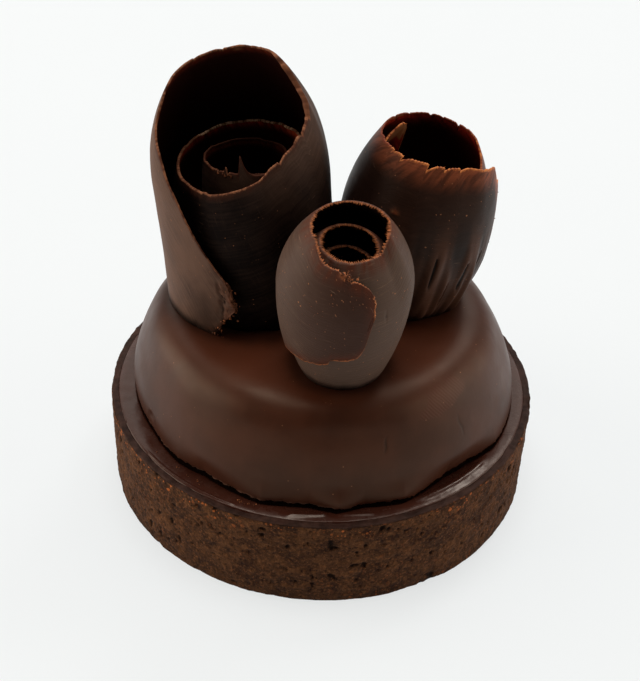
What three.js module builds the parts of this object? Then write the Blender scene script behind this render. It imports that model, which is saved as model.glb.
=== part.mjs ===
// A small chocolate tart with three dark chocolate curls standing on it.
// Millimetres, +Z up. The origin is the centre of the crust's underside.
// The crust is a straight-sided cocoa shortcrust shell, filled level with ganache, which
// carries a low coated dome. Each curl is one thin sheet of chocolate rolled up on itself.

import * as THREE from 'three';

// ---------- driving dimensions ----------

const GAP = 0.3;            // clear space kept between touching pieces
const ROUND_STEPS = 64;     // facets round the crust, the ganache and the dome

const CRUST = { radius: 40, height: 18.5, wall: 1.7, floor: 3, edge: 0.6 };
const GANACHE = { level: 18.6, crest: 18.75, crestRadius: 37, edgeLevel: 18.1 };
const DOME = {
  baseRadius: 36, shoulderRadius: 32.2, topRadius: 24.5,
  baseHeight: 19.05, shoulderHeight: 32.6, topHeight: 37.4,
  sideCurve: 1.78,          // how late the side bends in towards the shoulder
  shoulderPull: [2.6, 4.6], // how far the shoulder runs on along the side and the top
  baseCentre: [0.3, 0.7],   // the dome sits a little off centre and leans forward
  topCentre: [-0.3, -1.1],
};

const SHEET = 0.6;          // thickness of the chocolate sheets
const COLUMN_DEG = 12;      // roll angle between two columns of a sheet's facets
const EDGE_COLUMNS = 4;     // columns in the first of those steps, beside the outer free edge

// Each curl rolls inwards from its outer free edge. `start` is the direction of that edge
// from the curl's axis, in degrees, and the roll runs clockwise seen from above. `waistAt`
// is where along its length the roll is widest. The outlines are [roll angle, value] pairs:
//   length  how far up the roll's profile reaches, and rim the radius there
//   waist   the widest radius, and foot the radius at the axis' foot
//   top     where the sheet's upper edge runs along the axis
//   bottom  where its lower edge runs, if that is above the dome's top
const CURLS = {
  curl_large: {
    foot: [-12.8, 2.5], lean: [-0.093, -0.1], start: -94, turn: 892, waistAt: 0.6, rows: 8,
    length: [[0, 45], [240, 45], [276, 38.2], [308, 35.8], [352, 31], [400, 29.5], [985, 27]],
    rim: [[0, 9.2], [240, 9.1], [259, 10.9], [270, 12.4], [352, 12.5], [440, 10.6], [620, 9.8],
      [685, 6.9], [760, 5.8], [985, 4.6]],
    waist: [[0, 15.8], [84, 15.2], [240, 15.2], [352, 14.4], [440, 12.6], [620, 11.4], [685, 9],
      [760, 7.4], [985, 5.6]],
    foot_radius: [[0, 16.6], [84, 16], [185, 14.6], [240, 13.8], [352, 13.9], [440, 12.4],
      [620, 11.2], [685, 9], [760, 7.4], [985, 5.6]],
    top: [[0, 12], [5, 14.6], [11, 16.8], [24, 23.2], [37, 30.1], [53, 34.8], [72, 38], [84, 42],
      [108, 43.4], [160, 44.4], [215, 45.4], [236, 45.4], [259, 42], [276, 38.2], [308, 35.8],
      [352, 31], [384, 29.7], [440, 29.2], [530, 29.2], [610, 29.8], [740, 29.3], [872, 28.4],
      [892, 23]],
    bottom: [[0, 9], [11, 5], [24, 0], [892, 0]],
  },
  curl_rear: {
    foot: [13.3, 5], lean: [0.128, -0.053], start: 0, turn: 595, waistAt: 0.475, rows: 7,
    length: [[0, 32], [360, 32], [450, 31], [595, 31]],
    rim: [[0, 10.6], [38, 10.6], [60, 9.1], [90, 8.2], [180, 9], [270, 8.4], [360, 7.7],
      [450, 7.1], [595, 7.2]],
    waist: [[0, 13.9], [360, 12.8], [595, 12]],
    foot_radius: [[0, 11.2], [360, 10.2], [595, 9.5]],
    top: [[0, 26.3], [16, 27], [22, 30.4], [38, 31.4], [60, 32], [340, 32], [410, 27.5],
      [500, 27.5], [560, 31], [595, 30]],
    bottom: [[0, 0], [595, 0]],
  },
  curl_front: {
    foot: [3.1, -18.75], lean: [0.019, -0.123], start: -64, turn: 990, waistAt: 0.62, rows: 6,
    length: [[0, 30], [312, 30], [336, 27.9], [476, 27], [656, 26], [836, 23.5], [990, 22.5]],
    rim: [[0, 6.6], [312, 6.35], [386, 6], [476, 4.9], [656, 4.8], [836, 4], [990, 3.8]],
    waist: [[0, 11.8], [360, 10.65], [990, 8.3]],
    foot_radius: [[0, 8.3], [360, 7.2], [990, 5]],
    top: [[0, 24.3], [5, 25.4], [21, 26.7], [28, 27.5], [54, 28], [82, 29.8], [98, 30],
      [312, 30], [336, 27.9], [476, 27], [656, 26], [836, 23.5], [990, 22.5]],
    bottom: [[0, 20.5], [3, 18.8], [8, 14.4], [14, 12.4], [36, 11.3], [53, 9], [78, 7.9], [98, 6.5],
      [130, 5.5], [190, 0], [990, 0]],
  },
};

// ---------- materials ----------

const MATERIALS = {
  crust: { color: 0x4a3226, roughness: 0.85 },
  ganache: { color: 0x2c1712, roughness: 0.2 },
  dome: { color: 0x3d2620, roughness: 0.45 },
  curl: { color: 0x3b2620, roughness: 0.5 },
};

function piece(name, geometry, material) {
  const mesh = new THREE.Mesh(geometry, new THREE.MeshStandardMaterial({ metalness: 0, ...MATERIALS[material] }));
  mesh.name = name;
  return mesh;
}

// ---------- round pieces ----------

// A solid turned about +Z from [radius, height] points that start and end on the axis.
function turned(profile) {
  const points = profile.map(([radius, height]) => new THREE.Vector2(radius, height));
  return new THREE.LatheGeometry(points, ROUND_STEPS).rotateX(Math.PI / 2);
}

// Points of a quarter curve from one [radius, height] point to another, bulging outwards.
function quarter(from, to, steps) {
  const points = [];
  for (let step = 0; step <= steps; step += 1) {
    const angle = (Math.PI / 2) * (step / steps);
    points.push([to[0] + (from[0] - to[0]) * Math.cos(angle), from[1] + (to[1] - from[1]) * Math.sin(angle)]);
  }
  return points;
}

function crustShell() {
  const { radius, height, wall, floor, edge } = CRUST;
  return turned([
    [0, 0], [radius - edge, 0], [radius, edge], [radius, height - edge], [radius - edge / 2, height],
    [radius - wall, height], [radius - wall, floor], [0, floor],
  ]);
}

function ganacheFill() {
  const outer = CRUST.radius - CRUST.wall - GAP;
  const under = CRUST.floor + GAP;
  const { level, crest, crestRadius, edgeLevel } = GANACHE;
  return turned([
    [0, under], [outer, under], ...quarter([outer, edgeLevel], [crestRadius, crest], 3),
    [DOME.baseRadius - 1.5, level], [0, level],
  ]);
}

function dome() {
  const { baseRadius, shoulderRadius, topRadius, baseHeight, shoulderHeight, topHeight, sideCurve } = DOME;
  const sideSteps = 5;
  const shoulderSteps = 6;
  const side = [];
  for (let step = 0; step < sideSteps; step += 1) {
    const rise = step / sideSteps;
    side.push([
      baseRadius - (baseRadius - shoulderRadius) * rise ** sideCurve,
      baseHeight + (shoulderHeight - baseHeight) * rise,
    ]);
  }
  // The shoulder leaves the side in its own direction and meets the top level.
  const sideLean = (sideCurve * (baseRadius - shoulderRadius)) / (shoulderHeight - baseHeight);
  const [alongSide, alongTop] = DOME.shoulderPull;
  const shoulder = new THREE.CubicBezierCurve(
    new THREE.Vector2(shoulderRadius, shoulderHeight),
    new THREE.Vector2(shoulderRadius - sideLean * alongSide, shoulderHeight + alongSide),
    new THREE.Vector2(topRadius + alongTop, topHeight),
    new THREE.Vector2(topRadius, topHeight),
  ).getPoints(shoulderSteps).map((point) => point.toArray());
  const geometry = turned([[0, baseHeight], ...side, ...shoulder, [0, topHeight]]);
  const position = geometry.attributes.position;
  for (let index = 0; index < position.count; index += 1) {
    const rise = (position.getZ(index) - baseHeight) / (topHeight - baseHeight);
    const shift = DOME.baseCentre.map((from, axis) => from + (DOME.topCentre[axis] - from) * rise);
    position.setX(index, position.getX(index) + shift[0]);
    position.setY(index, position.getY(index) + shift[1]);
  }
  return geometry;
}

// ---------- curls ----------

// The value of an outline at a roll angle: a smooth curve through its points that never
// rises or falls past them.
function along(outline, angle) {
  const last = outline.length - 1;
  let index = outline.findIndex(([at]) => at > angle) - 1;
  if (index < 0) index = last - 1;
  const slope = (i) => (outline[i + 1][1] - outline[i][1]) / (outline[i + 1][0] - outline[i][0]);
  const tangent = (i) => {
    if (i === 0) return slope(0);
    if (i === last) return slope(last - 1);
    const [before, after] = [slope(i - 1), slope(i)];
    return before * after <= 0 ? 0 : (2 * before * after) / (before + after);
  };
  const [x0, y0] = outline[index];
  const [x1, y1] = outline[index + 1];
  const width = x1 - x0;
  const t = (angle - x0) / width;
  return (2 * t ** 3 - 3 * t ** 2 + 1) * y0 + (t ** 3 - 2 * t ** 2 + t) * width * tangent(index)
    + (3 * t ** 2 - 2 * t ** 3) * y1 + (t ** 3 - t ** 2) * width * tangent(index + 1);
}

// The roll's outer radius at a roll angle and a height along its axis: a barrel profile.
function rollRadius(curl, angle, height) {
  const length = along(curl.length, angle);
  const waist = along(curl.waist, angle);
  const waistHeight = curl.waistAt * length;
  const end = height > waistHeight ? along(curl.rim, angle) : along(curl.foot_radius, angle);
  const reach = height > waistHeight ? length - waistHeight : waistHeight;
  return waist - (waist - end) * ((height - waistHeight) / reach) ** 2;
}

// Unit vectors of a curl: `axis` up its length, `side` and `back` across it.
function rollFrame(curl) {
  const axis = new THREE.Vector3(curl.lean[0], curl.lean[1], 1).normalize();
  const side = new THREE.Vector3(0, 1, 0).cross(axis).normalize();
  const back = axis.clone().cross(side);
  return { axis, side, back };
}

function rollPoint(curl, frame, angle, height, inset) {
  const direction = THREE.MathUtils.degToRad(curl.start - angle);
  const radius = rollRadius(curl, angle, height) - inset;
  return new THREE.Vector3(curl.foot[0], curl.foot[1], DOME.topHeight)
    .addScaledVector(frame.axis, height)
    .addScaledVector(frame.side, radius * Math.cos(direction))
    .addScaledVector(frame.back, radius * Math.sin(direction));
}

// The height along the axis where the sheet meets the level just above the dome's flat top.
function standingHeight(curl, frame, angle) {
  let height = 0;
  for (let round = 0; round < 6; round += 1) {
    const point = rollPoint(curl, frame, angle, height, 0);
    height += (DOME.topHeight + GAP - point.z) / frame.axis.z;
  }
  return height;
}

// One rolled sheet, closed all round: its outer face, inner face and four thin edges.
function rolledSheet(curl) {
  const frame = rollFrame(curl);
  const steps = Math.round(curl.turn / COLUMN_DEG);
  const columns = steps + EDGE_COLUMNS - 1;
  const rows = curl.rows;
  const ring = 2 * (rows + 1);      // points of one column: up the outer face, down the inner
  const vertices = [];
  for (let column = 0; column <= columns; column += 1) {
    const step = column < EDGE_COLUMNS ? column / EDGE_COLUMNS : column - EDGE_COLUMNS + 1;
    const angle = (curl.turn * step) / steps;
    const top = along(curl.top, angle);
    const bottom = Math.max(along(curl.bottom, angle), standingHeight(curl, frame, angle));
    for (let index = 0; index < ring; index += 1) {
      const outside = index <= rows;
      const share = (outside ? index : ring - 1 - index) / rows;
      const height = bottom + (top - bottom) * share;
      vertices.push(...rollPoint(curl, frame, angle, height, outside ? 0 : SHEET).toArray());
    }
  }
  const faces = [];
  const quad = (a, b, c, d) => faces.push(a, b, c, a, c, d);
  for (let column = 0; column < columns; column += 1) {
    for (let index = 0; index < ring; index += 1) {
      const here = column * ring;
      const next = here + ring;
      const after = (index + 1) % ring;
      quad(here + index, here + after, next + after, next + index);
    }
  }
  for (let row = 0; row < rows; row += 1) {
    const outer = row;
    const inner = ring - 1 - row;
    quad(outer, inner, inner - 1, outer + 1);
    const end = columns * ring;
    quad(end + outer, end + outer + 1, end + inner - 1, end + inner);
  }
  const geometry = new THREE.BufferGeometry();
  geometry.setAttribute('position', new THREE.Float32BufferAttribute(vertices, 3));
  geometry.setIndex(faces);
  geometry.computeVertexNormals();
  return geometry;
}

// ---------- the tart ----------

const tart = new THREE.Group();
tart.add(piece('crust', crustShell(), 'crust'));
tart.add(piece('ganache', ganacheFill(), 'ganache'));
tart.add(piece('dome', dome(), 'dome'));
for (const [name, curl] of Object.entries(CURLS)) tart.add(piece(name, rolledSheet(curl), 'curl'));

export default tart;
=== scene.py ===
"""The looks of a small chocolate tart: a cocoa crust, ganache, a coated dome and three curls.

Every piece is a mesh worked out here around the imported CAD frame. Shapes are worked out in
millimetres, and add_piece() turns them into metres. Nothing is read but the frame.
"""

import math

import bpy
import numpy as np
from mathutils import Matrix, Vector


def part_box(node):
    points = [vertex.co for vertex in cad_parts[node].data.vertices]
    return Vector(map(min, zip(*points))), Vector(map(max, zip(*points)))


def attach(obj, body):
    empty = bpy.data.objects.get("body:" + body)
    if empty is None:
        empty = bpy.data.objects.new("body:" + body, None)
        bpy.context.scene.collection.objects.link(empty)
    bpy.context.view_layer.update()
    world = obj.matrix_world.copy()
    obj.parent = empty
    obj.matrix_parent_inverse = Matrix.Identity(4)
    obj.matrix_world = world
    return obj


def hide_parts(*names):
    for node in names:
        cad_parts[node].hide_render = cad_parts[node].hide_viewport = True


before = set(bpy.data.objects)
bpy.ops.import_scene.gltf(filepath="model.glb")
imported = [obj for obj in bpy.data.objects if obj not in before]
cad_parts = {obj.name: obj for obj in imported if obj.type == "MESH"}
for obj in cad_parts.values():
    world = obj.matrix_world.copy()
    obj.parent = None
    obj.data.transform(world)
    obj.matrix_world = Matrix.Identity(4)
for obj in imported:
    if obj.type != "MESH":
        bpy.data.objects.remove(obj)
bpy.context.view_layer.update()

MM = 0.001


def box_mm(node):
    """The lowest and the highest corner of a CAD node, in millimetres."""
    low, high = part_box(node)
    return np.array(low) / MM, np.array(high) / MM


# ---------- driving dimensions, in millimetres ----------

CRUST_LOW, CRUST_HIGH = box_mm("crust")
GANACHE_LOW = box_mm("ganache")[0]
DOME_LOW, DOME_HIGH = box_mm("dome")

CRUST_RADIUS = (CRUST_HIGH[0] - CRUST_LOW[0]) / 2
CRUST_HEIGHT = CRUST_HIGH[2]
CRUST_WALL = 1.7
CRUST_FLOOR = GANACHE_LOW[2] - 0.3

GANACHE_EDGE = 18.38             # where the ganache meets the wall
GANACHE_LEVEL = 18.55            # its flat part, under the dome's lip

DOME_BASE = DOME_LOW[2]
DOME_TOP = DOME_HIGH[2]
DOME_BASE_RADIUS = 36.0
DOME_SHOULDER = 33.6             # the height where the side turns into the shoulder
DOME_SHOULDER_RADIUS = 31.7
DOME_TOP_RADIUS = 27.0
DOME_SIDE_CURVE = 1.78
DOME_BASE_CENTRE = np.array([0.3, 0.7])
DOME_TOP_CENTRE = np.array([-0.3, -1.1])

SHEET = 0.58                     # thickness of the chocolate sheets

# Each curl is one sheet that rolls inwards from its outer free edge, clockwise seen from above.
# `foot` is where its axis meets the dome, `lean` how the axis tilts, `start` the direction of its
# free edge and `turn` how far it rolls, in degrees. The outlines are [roll angle, value] pairs,
# as in the CAD part: `length` and `rim` say where the barrel profile ends, `waist` and
# `foot_radius` how wide it is, `waist_at` how far up the waist lies, and `top` and `bottom` where
# the sheet stops. The torn top edge is `edge` thick. Its `teeth` are (spacing, height, how far
# they bend in), and they `hang` down a little at their tips. It has wider bites too, `rough`
# deep, and leans along the roll by `shear` degrees. `smooth` is how much of the edge's outer
# part keeps the colour of the face. The outline after it paints light and shade on the edge:
# above 0 it makes the edge's tone lighter, up to a near-white glint, as a painted highlight, and
# below 0 darker, as painted shade. `glow` is how red the inside is near it. `rows` and `step`,
# in degrees, say how fine the mesh is.
CURLS = {
    "curl_large": {
        "foot": (-12.8, 2.5), "lean": (-0.093, -0.1), "start": -94, "turn": 1060, "waist_at": 0.6,
        "length": [[0, 45], [240, 45], [276, 38.2], [308, 35.8], [352, 31], [400, 29.5],
                   [1060, 28.9]],
        "rim": [[0, 9.2], [240, 9.1], [259, 10.9], [270, 12.4], [352, 12.5], [440, 10.5],
                [485, 10.1], [530, 10.9], [597, 11.6], [640, 10.2], [685, 7.5], [720, 6.2],
                [760, 5.8], [806, 6.1], [895, 7.6], [940, 8.1], [985, 8.2], [1015, 7], [1060, 4.6]],
        "waist": [[0, 15.8], [84, 15.2], [240, 15.2], [352, 14.4], [440, 12.6], [600, 12.6],
                  [685, 9], [760, 7.4], [895, 7.9], [985, 9], [1015, 7.8], [1060, 5.7]],
        "foot_radius": [[0, 16.6], [84, 16], [185, 14.6], [240, 13.8], [352, 13.9], [440, 12.4],
                        [600, 12], [685, 9], [760, 7.4], [895, 7.6], [985, 8.6], [1060, 6]],
        "top": [[0, 12], [5, 14.6], [11, 16.8], [24, 23.2], [37, 30.1], [53, 34.8], [72, 38],
                [84, 42], [108, 43.4], [160, 44.4], [215, 45.4], [236, 45.4], [259, 42],
                [276, 38.2], [308, 35.8], [352, 31], [384, 29.7], [440, 29.2], [530, 29.3],
                [610, 29.5], [690, 29.6], [697, 30.0], [702, 31.0], [707, 32.6], [710, 31.4],
                [714, 29.7], [731, 29.7], [735, 30.5], [738, 29.7], [790, 29.4], [895, 27.6],
                [985, 28.2], [1060, 28.6]],
        "bottom": [[0, 9], [11, 5], [24, 0], [1060, 0]],
        "edge": [[0, 0.26], [150, 0.3], [226, 0.32], [240, 0.95], [268, 0.9], [282, 0.34],
                 [352, 0.26], [420, 0.42], [600, 0.36], [1060, 0.26]],
        "teeth": (0.5, 0.08, 0.12), "rough": 0.5, "shear": 0, "hang": 0.05, "smooth": 0.05,
        "edge_light_and_shade": [[0, 0], [470, 0], [500, 1], [600, 0.8], [640, -0.2], [690, -0.7], [722, -0.7],
                   [728, 0], [800, -0.4], [860, -1], [1060, -1]],
        "glow": [[0, 0], [60, 0.1], [225, 0.14], [240, 0.7], [340, 0.6], [400, 0.2], [470, 0.9],
                 [600, 1], [660, 0.3], [760, 0.1], [1060, 0.1]],
        "rows": 44, "step": 1.0,
    },
    "curl_rear": {
        "foot": (13.3, 5), "lean": (0.128, -0.053), "start": 0, "turn": 595, "waist_at": 0.475,
        "length": [[0, 32], [360, 32], [450, 31], [595, 31]],
        "rim": [[0, 10.6], [38, 10.6], [60, 9.1], [90, 8.2], [180, 9], [270, 8.4], [360, 7.7],
                [450, 7.1], [595, 7.2]],
        "waist": [[0, 13.9], [360, 12.8], [560, 11.8], [595, 9]],
        "foot_radius": [[0, 11.2], [360, 10.2], [560, 9.6], [595, 8.4]],
        "top": [[0, 26.3], [16, 27], [22, 30.4], [38, 31.4], [60, 32], [340, 32], [410, 27.5],
                [430, 27.5], [438, 29], [443, 30.8], [448, 29], [456, 27.5], [500, 27.5],
                [560, 29.8], [586, 31.4], [595, 30.8]],
        "bottom": [[0, 0], [595, 0]],
        "edge": [[0, 0.22], [595, 0.3]],
        "teeth": (0.6, 0.16, 0.1), "rough": 0.3, "shear": 5.5, "hang": 0.05, "smooth": 0,
        "edge_light_and_shade": [[0, 0.1], [140, 0.1], [170, -0.6], [325, -0.6], [360, 0], [595, 0]],
        "glow": [[0, 1], [595, 1]],
        "rows": 62, "step": 0.9,
    },
    "curl_front": {
        "foot": (3.1, -18.75), "lean": (0.019, -0.123), "start": -64, "turn": 990,
        "waist_at": 0.62,
        "length": [[0, 30], [312, 30], [336, 27.9], [476, 27], [656, 26], [836, 23.5],
                   [990, 22.5]],
        "rim": [[0, 6.6], [312, 6.35], [386, 6], [476, 4.9], [656, 4.8], [836, 4], [990, 3.8]],
        "waist": [[0, 11.8], [360, 10.65], [990, 8.3]],
        "foot_radius": [[0, 8.3], [360, 7.2], [990, 5]],
        "top": [[0, 24.3], [5, 25.4], [21, 26.7], [28, 27.5], [54, 28], [82, 29.8], [98, 30],
                [312, 30], [336, 27.9], [476, 27], [656, 26], [836, 23.5], [990, 22.5]],
        "bottom": [[0, 20.5], [3, 18.8], [5, 17.1], [8, 14.4], [14, 12.4], [25, 11.5], [36, 11.3],
                   [38, 10.1], [53, 9], [65, 8.4], [78, 7.9], [98, 6.5], [130, 5.5], [190, 0],
                   [990, 0]],
        "edge": [[0, 0.26], [330, 0.26], [400, 0.36], [990, 0.4]],
        "teeth": (0.46, 0.12, 0.8), "rough": 0.14, "shear": 0, "hang": 0.12, "smooth": 0.42,
        "edge_light_and_shade": [[0, 0.3], [22, 0.3], [50, 0.1], [990, 0.1]],
        "glow": [[0, 1], [990, 1]],
        "rows": 33, "step": 0.7,
    },
}


# ---------- numbers that vary smoothly or raggedly ----------


def lattice(x, y, z, seed):
    """A repeatable value from 0 to 1 at each whole-number point."""
    mixed = (x * 374761393 + y * 668265263 + z * 1103515245 + seed * 1274126177) & 0xFFFFFFFF
    mixed = ((mixed ^ (mixed >> 13)) * 1274126177) & 0xFFFFFFFF
    return (mixed ^ (mixed >> 16)) / 0xFFFFFFFF


def smooth_noise(points, size, seed):
    """Smooth noise from -1 to 1 at points (..., 3), with lumps about `size` across."""
    scaled = points / size
    cell = np.floor(scaled).astype(np.int64)
    share = scaled - cell
    share = share * share * (3 - 2 * share)
    total = np.zeros(points.shape[:-1])
    for corner in range(8):
        offset = np.array([corner & 1, corner >> 1 & 1, corner >> 2])
        weight = np.prod(np.where(offset == 1, share, 1 - share), axis=-1)
        spot = cell + offset
        total += weight * lattice(spot[..., 0], spot[..., 1], spot[..., 2], seed)
    return total * 2 - 1


def layered_noise(points, size, seed, layers=3):
    """Noise with finer and weaker layers added to it."""
    total = sum(
        smooth_noise(points, size / 2**layer, seed + layer) / 2**layer for layer in range(layers)
    )
    return total / (2 - 2 ** (1 - layers))


def ragged(positions, spacing, depth, seed):
    """A torn line: straight bites of uneven width and depth, from 0 down to -depth."""
    dice = np.random.default_rng(seed)
    low, high = positions.min() - spacing, positions.max() + spacing
    count = int((high - low) / spacing * 2) + 4
    knots = low + np.cumsum(dice.uniform(0.12, 0.88, count)) * spacing
    values = -depth * dice.random(count) ** 1.4
    return np.interp(positions, knots, values)


def serrated(positions, spacing, depth, seed):
    """A row of uneven sharp teeth: about one for each `spacing`, from 0 down to -depth."""
    dice = np.random.default_rng(seed)
    low, high = positions.min() - spacing, positions.max() + spacing
    count = 2 * (int((high - low) / spacing * 0.6) + 4) * 2
    knots = low + np.cumsum(dice.uniform(0.2, 0.8, count)) * spacing
    values = -depth * dice.uniform(0.0, 0.35, count)
    values[1::2] = -depth * dice.uniform(0.45, 1.0, count // 2)
    return np.interp(positions, knots, values)


def blend(value, low, high):
    """0 below `low`, 1 above `high`, and a smooth rise between them."""
    share = np.clip((value - low) / (high - low), 0, 1)
    return share * share * (3 - 2 * share)


def dent(distance, width):
    """1 at the middle of a dent and 0 from `width` outwards."""
    return np.clip(1 - (distance / width) ** 2, 0, 1) ** 2


def along(outline, angle):
    """The value of an outline at roll angles: a smooth curve that never overshoots its points."""
    at, value = np.array(outline, float).T
    width = np.diff(at)
    slope = np.diff(value) / width
    tangent = np.concatenate([slope[:1], np.zeros(len(at) - 2), slope[-1:]])
    for index in range(1, len(at) - 1):
        before, after = slope[index - 1], slope[index]
        if before * after > 0:
            tangent[index] = 2 * before * after / (before + after)
    index = np.clip(np.searchsorted(at, angle, side="right") - 1, 0, len(at) - 2)
    t = (angle - at[index]) / width[index]
    return (
        (2 * t**3 - 3 * t**2 + 1) * value[index]
        + (t**3 - 2 * t**2 + t) * width[index] * tangent[index]
        + (3 * t**2 - 2 * t**3) * value[index + 1]
        + (t**3 - t**2) * width[index] * tangent[index + 1]
    )


# ---------- meshes ----------


def add_piece(name, points, faces, material, node=None, attributes=None, uv=None):
    """Makes a smooth-shaded object from points in millimetres, and hides the CAD part that it stands for.
    """
    mesh = bpy.data.meshes.new(name)
    mesh.from_pydata((points * MM).tolist(), [], faces)
    mesh.polygons.foreach_set("use_smooth", np.ones(len(mesh.polygons), bool))
    for label, values in (attributes or {}).items():
        layer = mesh.attributes.new(label, "FLOAT", "POINT")
        layer.data.foreach_set("value", np.asarray(values, np.float32))
    if uv is not None:
        corners = np.zeros(len(mesh.loops), np.int32)
        mesh.loops.foreach_get("vertex_index", corners)
        layer = mesh.uv_layers.new(name="UVMap")
        layer.data.foreach_set("uv", uv[corners].astype(np.float32).ravel())
    mesh.materials.append(material)
    mesh.validate()
    mesh.update()
    piece = bpy.data.objects.new(name, mesh)
    bpy.context.scene.collection.objects.link(piece)
    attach(piece, "root")
    if node:
        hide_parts(node)
    return piece


def grid_faces(columns, rows):
    """Quads of a tube whose points run along each column, for columns that close into a ring."""
    here = np.arange(columns)[:, None] * rows + np.arange(rows - 1)[None]
    after = (np.arange(columns) + 1) % columns
    there = after[:, None] * rows + np.arange(rows - 1)[None]
    return np.stack([here, there, there + 1, here + 1], -1).reshape(-1, 4).tolist()


def ring_points(radius, height, azimuth):
    """The points round the tart's axis that (azimuth, row) grids of radius and height stand for."""
    across = azimuth[:, None]
    return np.stack([radius * np.cos(across), radius * np.sin(across), height], -1)


def turned_piece(name, radius, height, azimuth, material, node, attributes, centre=0.0):
    """A closed round solid from (azimuth, row) grids that start below and end above the axis."""
    columns, rows = radius.shape
    points = ring_points(radius, height, azimuth)
    points[..., :2] += centre
    points = points.reshape(-1, 3)
    faces = grid_faces(columns, rows)
    low_centre, high_centre = len(points), len(points) + 1
    first = points[0::rows].mean(0)
    last = points[rows - 1 :: rows].mean(0)
    points = np.concatenate([points, [first, last]])
    for column in range(columns):
        after = (column + 1) % columns
        faces.append([low_centre, after * rows, column * rows])
        faces.append([high_centre, column * rows + rows - 1, after * rows + rows - 1])
    extra = {
        label: np.concatenate([values.ravel(), [values[0, 0], values[0, -1]]])
        for label, values in attributes.items()
    }
    return add_piece(name, points, faces, material, node, extra)


def ring_angles(columns):
    """The azimuths of a ring's columns, in radians."""
    return np.arange(columns) * (2 * math.pi / columns)


def turn_from(azimuth, degrees):
    """How far each azimuth is from a direction, in radians, from -pi to pi."""
    return (azimuth - math.radians(degrees) + math.pi) % (2 * math.pi) - math.pi


# ---------- shader helpers ----------


def shade(red, green, blue):
    """A colour as a picture shows it, 0 to 255, as the linear colour that a shader takes."""
    def linear(value):
        value /= 255
        return value / 12.92 if value <= 0.04045 else ((value + 0.055) / 1.055) ** 2.4

    return (linear(red), linear(green), linear(blue), 1.0)


def feed(tree, socket, value):
    """Links a socket to another one, or sets its own value."""
    if isinstance(value, bpy.types.NodeSocket):
        tree.links.new(value, socket)
    else:
        socket.default_value = value


def add_node(tree, kind, values=None, **settings):
    """A new node with its settings, and with what each of its inputs is or comes from."""
    made = tree.nodes.new(kind)
    for name, value in settings.items():
        setattr(made, name, value)
    for name, value in (values or {}).items():
        feed(tree, made.inputs[name], value)
    return made


class Surface:
    """A material's node tree, with short names for the nodes that the looks here use."""

    def __init__(self, name):
        self.material = bpy.data.materials.new(name)
        self.material.use_nodes = True
        self.tree = self.material.node_tree
        self.shader = self.tree.nodes["Principled BSDF"]
        place = self.node("ShaderNodeTexCoord").outputs["Object"]
        scaled = self.node("ShaderNodeVectorMath", {0: place, 1: (1 / MM,) * 3}, operation="MULTIPLY")
        self.place = scaled.outputs["Vector"]

    def node(self, kind, values=None, **settings):
        return add_node(self.tree, kind, values, **settings)

    def set(self, **values):
        """Sets or links the shader's inputs; a number or colour is set on its own socket."""
        for name, value in values.items():
            feed(self.tree, self.shader.inputs[name.replace("_", " ")], value)

    def attribute(self, name):
        return self.node("ShaderNodeAttribute", attribute_name=name).outputs["Fac"]

    def uv(self, across=1.0, up=1.0, slant=0.0):
        """The sheet's own place, in millimetres round the roll and up it, stretched."""
        flat = self.node("ShaderNodeUVMap", uv_map="UVMap").outputs["UV"]
        return self.node(
            "ShaderNodeMapping",
            {"Vector": flat, "Rotation": (0, 0, slant), "Scale": (1 / across, 1 / up, 1)},
            vector_type="TEXTURE",
        ).outputs["Vector"]

    def noise(self, size, place=None, detail=3.0, roughness=0.55):
        """Noise from 0 to 1 with lumps about `size` millimetres across."""
        values = {"Vector": place or self.place, "Scale": 1 / size, "Detail": detail,
                  "Roughness": roughness}
        return self.node("ShaderNodeTexNoise", values).outputs["Fac"]

    def spots(self, size, place=None):
        """(distance to the nearest seed point, a random value of that point) for specks."""
        made = self.node("ShaderNodeTexVoronoi", {"Vector": place or self.place, "Scale": 1 / size})
        split = self.node("ShaderNodeSeparateColor", {"Color": made.outputs["Color"]})
        return made.outputs["Distance"], split.outputs["Red"]

    def specks(self, size, reach, rare, certain, place=None):
        """Specks on seed points `size` apart, from the `rare` share of them upwards. `reach` is
        where a speck begins and where it is full, in shares of `size`."""
        near, luck = self.spots(size, place)
        return self.times(self.spread(near, *reach), self.spread(luck, rare, certain))

    def spread(self, value, low, high, to_low=0.0, to_high=1.0):
        """A smooth rise between two values, which may run down instead of up."""
        values = {"Value": value, "From Min": low, "From Max": high, "To Min": to_low, "To Max": to_high}
        return self.node("ShaderNodeMapRange", values, interpolation_type="SMOOTHSTEP").outputs["Result"]

    def times(self, first, second):
        return self.node("ShaderNodeMath", {0: first, 1: second}, operation="MULTIPLY").outputs["Value"]

    def plus(self, first, second):
        return self.node("ShaderNodeMath", {0: first, 1: second}, operation="ADD").outputs["Value"]

    def mix(self, factor, first, second):
        made = self.node("ShaderNodeMix", {0: factor, 6: first, 7: second}, data_type="RGBA")
        return made.outputs[2]

    def bump(self, *layers):
        """Stacks (height, depth in millimetres) layers of bump."""
        normal = None
        for height, depth in layers:
            values = {"Height": height, "Distance": depth * MM}
            if normal:
                values["Normal"] = normal
            normal = self.node("ShaderNodeBump", values).outputs["Normal"]
        self.set(Normal=normal)


# ---------- materials ----------

WARM_SHEEN = (1.0, 0.84, 0.70, 1.0)    # tints the highlights


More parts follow.
